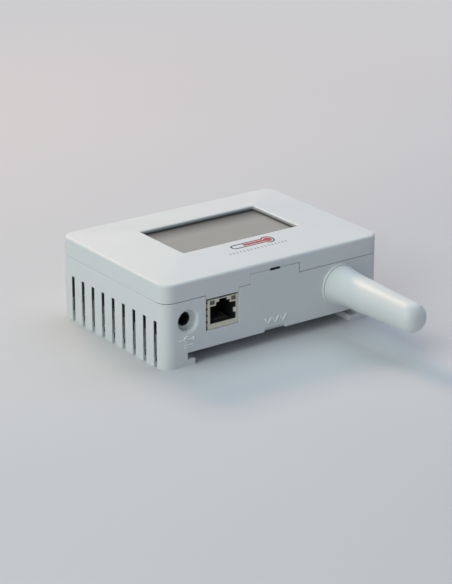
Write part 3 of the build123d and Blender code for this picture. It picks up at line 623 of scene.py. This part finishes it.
def soften_sheen(material, level):
    """Lowers how much light a finish mirrors."""
    shader = material.node_tree.nodes["Principled BSDF"]
    shader.inputs["Specular IOR Level"].default_value = level


dress("display_glass", display_panel("display_glass", (0.295, 0.294, 0.273)))
gasket_colour = (0.10, 0.107, 0.106)
gasket_rubber = moulded_plastic("gasket_rubber", gasket_colour, 0.85, 0.3 * mm, 0.02 * mm)
soften_sheen(gasket_rubber, 0.15)
dress("window_gasket", gasket_rubber)
dress("display_frame", dark_finish)


def layered_rubber(name):
    """Contact strip: thin dark and pale layers of rubber across its length."""
    layer_pitch = 1.2 * mm
    material, tree, shader, place = start_material(name)
    inputs = {"Vector": place, "Scale": 1 / layer_pitch, "Distortion": 0.0}
    layers = add_node(tree, "ShaderNodeTexWave", inputs, bands_direction="X")
    tint = blend_colours(tree, layers.outputs["Fac"], (0.02, 0.02, 0.02), (0.16, 0.15, 0.15))
    tree.links.new(tint, shader.inputs["Base Color"])
    shader.inputs["Roughness"].default_value = 0.7
    return material


dress("contact_strips", layered_rubber("contact_rubber"))


# Front cover: the lid, of the same textured plastic as the shell, crowned up to the window's
# bevelled rim. It snaps over the shell's tongue and closes the socket's cut-out.
cover_plastic = moulded_plastic("cover_plastic", case_colour, 0.44, case_grain, case_relief)
soften_sheen(cover_plastic, 0.3)
rim_land, rim_shade_tone, rim_height = 1.35 * mm, 0.5, 5 * mm
rim_shade_run = rim_land / 2        # the lower half of the bevel is painted darker: painted shade
rim_inset = Vector((glass_lap - rim_shade_run, glass_lap - rim_shade_run, -rim_height))
# Painted shade on the lower half of the window's bevel and in the pry slot.
paint_shade_in_boxes(cover_plastic, [
    (glass_low + rim_inset, glass_high - rim_inset, rim_shade_run, rim_shade_tone),
    (pry_low, pry_high, seam_shade_run, pry_shade_tone),
])
dress("front_cover", cover_plastic)


# Print on the strip in front of the window: a lying thermometer with its red column and a fine
# scale beside it, in thin dark, red and grey ink.
def ink(name, colour):
    """Printed ink: thin, slightly uneven, a little glossier than the plastic."""
    patch_size = 0.6 * mm
    material, tree, shader, place = start_material(name)
    uneven = noise(tree, place, patch_size, 3.0)
    tint = blend_colours(tree, uneven, shaded(colour, 0.92), shaded(colour, 1.12))
    tree.links.new(tint, shader.inputs["Base Color"])
    tree.links.new(between(tree, uneven, 0.34, 0.42), shader.inputs["Roughness"])
    return material


dark_ink = ink("dark_ink", (0.03, 0.03, 0.034))
red_ink = ink("red_ink", (0.52, 0.025, 0.03))
grey_ink = ink("grey_ink", (0.33, 0.34, 0.35))
cover_low, cover_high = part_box("front_cover")
crown_rise = 2.05 * mm
rim_y = glass_low.y + glass_lap - rim_land
strip_slope = math.atan2(crown_rise, rim_y - cover_low.y)
ink_depth, ink_height = 0.03 * mm, 0.02 * mm


def printed(name, loops, x, along, colour):
    """Prints loops on the strip, so far in from the cover's front edge, their Y up the slope."""
    rise = cover_high.z - crown_rise + along * math.sin(strip_slope)
    y = cover_low.y + along * math.cos(strip_slope)
    place = Matrix.Translation((x, y, rise)) @ Matrix.Rotation(strip_slope, 4, "X")
    return flat_piece(name, loops, place, ink_depth, ink_height, 0, colour)


def bulb(radius, neck_half):
    """Points round a bulb at the tube's end, from one side of its neck to the other."""
    neck_angle = math.degrees(math.asin(neck_half / radius))
    return arc(radius, neck_angle - 180, 180 - neck_angle, tube_half)


def line_band(path, width):
    """Points of a band along a path of points, mitred at its bends, as one loop."""
    points = [Vector(point) for point in path]
    runs = [(after - before).normalized() for before, after in zip(points, points[1:])]
    left, right = [], []
    for point, first, last in zip(points, runs[:1] + runs, runs + runs[-1:]):
        middle = (first + last).normalized()
        off = Vector((-middle.y, middle.x)) * (width / 2 / middle.dot(first))
        left.append(tuple(point + off))
        right.append(tuple(point - off))
    return left + right[::-1]


print_x, tube_along, scale_along = 1.5 * mm, 20.0 * mm, 14.6 * mm
tube_half, tube_radius, tube_bulb = 9.0 * mm, 1.7 * mm, 2.9 * mm
tube_line, line_gap = 0.75 * mm, 0.02 * mm        # the line stops just short of its start
tube_path = [(0.0, -tube_radius)] + bulb(tube_bulb, tube_radius)
tube_path += arc(tube_radius, 90, 270, -tube_half) + [(-line_gap, -tube_radius)]
outline = [line_band(tube_path, tube_line)]
column_bulb, column_half, column_reach = 2.0 * mm, 0.85 * mm, 13.5 * mm
column_end = tube_half - column_reach
column_tip = [(column_end, column_half), (column_end, -column_half)]
column = [bulb(column_bulb, column_half) + column_tip]
tick_count, tick_pitch, tick_width, tick_length = 17, 1.9 * mm, 0.6 * mm, 1.9 * mm
first_tick = [bar(tick_width, tick_length, -(tick_count - 1) / 2 * tick_pitch)]
print_outline = printed("print_outline", outline, print_x, tube_along, dark_ink)
print_column = printed("print_column", column, print_x, tube_along, red_ink)
print_scale = printed("print_scale", first_tick, print_x, scale_along, grey_ink)
repeat_piece(print_scale, tick_count, (tick_pitch, 0, 0), grey_ink)
for print_piece in (print_outline, print_column, print_scale):
    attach(print_piece, "root")


# Floor and backdrop: a pale matt table that runs out, past the object's shadow, into a plain pale
# backdrop. Only what is seen or mirrored shows the backdrop, so it throws no light on the object.
floor_material, floor_tree, floor_shader, floor_place = start_material("pale_floor")
floor_patch = 0.25
floor_drift = noise(floor_tree, floor_place, floor_patch, 2.0)
floor_tint = blend_colours(floor_tree, floor_drift, (0.60, 0.61, 0.62), (0.62, 0.63, 0.64))
floor_tree.links.new(floor_tint, floor_shader.inputs["Base Color"])
floor_shader.inputs["Roughness"].default_value = 0.8


def seen_rays(tree):
    """1 for what the camera, a mirror or clear glass shows, and 0 for the light on the object."""
    ray = add_node(tree, "ShaderNodeLightPath").outputs
    mirrored = calculate(tree, "ADD", ray["Is Glossy Ray"], ray["Is Transmission Ray"])
    inputs = {0: mirrored, 1: ray["Is Camera Ray"]}
    return add_node(tree, "ShaderNodeMath", inputs, use_clamp=True).outputs["Value"]


def mix_shaders(tree, share, first, second, output):
    """Shows the second shader for a share of the rays, and the first for the rest."""
    mixed = add_node(tree, "ShaderNodeMixShader", {0: share, 1: first, 2: second})
    tree.links.new(mixed.outputs["Shader"], tree.nodes[output].inputs["Surface"])


backdrop_colour = (0.61, 0.605, 0.62, 1)
table_edge, backdrop_start = 0.27, 0.7
length = add_node(floor_tree, "ShaderNodeVectorMath", {0: floor_place}, operation="LENGTH")
away = fade(floor_tree, length.outputs["Value"], backdrop_start, table_edge, 0.0)
pale = calculate(floor_tree, "MULTIPLY", away, seen_rays(floor_tree))
plain_pale = {"Color": backdrop_colour, "Strength": 1.0}
backdrop = add_node(floor_tree, "ShaderNodeEmission", plain_pale).outputs["Emission"]
mix_shaders(floor_tree, pale, floor_shader.outputs["BSDF"], backdrop, "Material Output")
floor_side = 8.0
floor_corners = [(x, y, 0) for x, y in bar(floor_side, floor_side)]
floor_mesh = bpy.data.meshes.new("floor")
floor_mesh.from_pydata(floor_corners, [], [(0, 1, 2, 3)])
floor_mesh.materials.append(floor_material)
floor = bpy.data.objects.new("floor", floor_mesh)
bpy.context.scene.collection.objects.link(floor)


# Studio light: soft rectangular lamps from behind, from the left and from above, and a weak blue
# fill from the room. The room itself is as pale as the backdrop where it is seen.
world = bpy.data.worlds.new("studio")
world.use_nodes = True
studio = world.node_tree
fill_light = studio.nodes["Background"]
fill_light.inputs["Color"].default_value = (0.474, 0.626, 1.0, 1)
fill_light.inputs["Strength"].default_value = 0.165
fill = fill_light.outputs["Background"]
pale_room = add_node(studio, "ShaderNodeBackground", plain_pale).outputs["Background"]
mix_shaders(studio, seen_rays(studio), fill, pale_room, "World Output")
bpy.context.scene.world = world
lamp_distance = 1.3


def softbox(name, direction, width, height, power, colour):
    """A rectangular soft light that faces the middle of the object."""
    lamp = bpy.data.lights.new(name, "AREA")
    lamp.shape = "RECTANGLE"
    lamp.size, lamp.size_y = width, height
    lamp.energy = power
    lamp.color = colour
    made = bpy.data.objects.new(name, lamp)
    made.location = Vector(direction).normalized() * lamp_distance
    made.rotation_mode = "QUATERNION"
    made.rotation_quaternion = Vector(direction).to_track_quat("Z", "Y")
    bpy.context.scene.collection.objects.link(made)


softbox("back_light", (0.08, 0.76, 0.62), 0.5, 0.3, 6.57, (1.0, 0.667, 0.472))
softbox("left_light", (-0.88, -0.32, 0.34), 0.7, 0.9, 4.34, (1.0, 1.0, 0.945))
softbox("high_left_light", (-0.6, 0.0, 0.8), 1.3, 1.3, 7.65, (0.86, 1.0, 0.923))
softbox("high_right_light", (0.5, 0.15, 0.85), 1.3, 1.3, 7.55, (0.787, 0.877, 1.0))


# Camera: it stands where the photograph was taken, about a metre off in front of the left corner
# and a little above, with a long lens. Everything is in focus.
lens = bpy.data.cameras.new("camera")
lens.lens = 130.4
lens.sensor_width = 36.0
camera = bpy.data.objects.new("camera", lens)
camera_place = Vector((-0.5222, -0.7091, 0.3567))
camera_aim = Vector((-0.01185, 0.00631, 0.020))
camera.location = camera_place
camera.rotation_mode = "QUATERNION"
camera.rotation_quaternion = (camera_aim - camera_place).to_track_quat("-Z", "Y")
bpy.context.scene.collection.objects.link(camera)
bpy.context.scene.camera = camera
bpy.context.scene.view_settings.view_transform = "Standard"
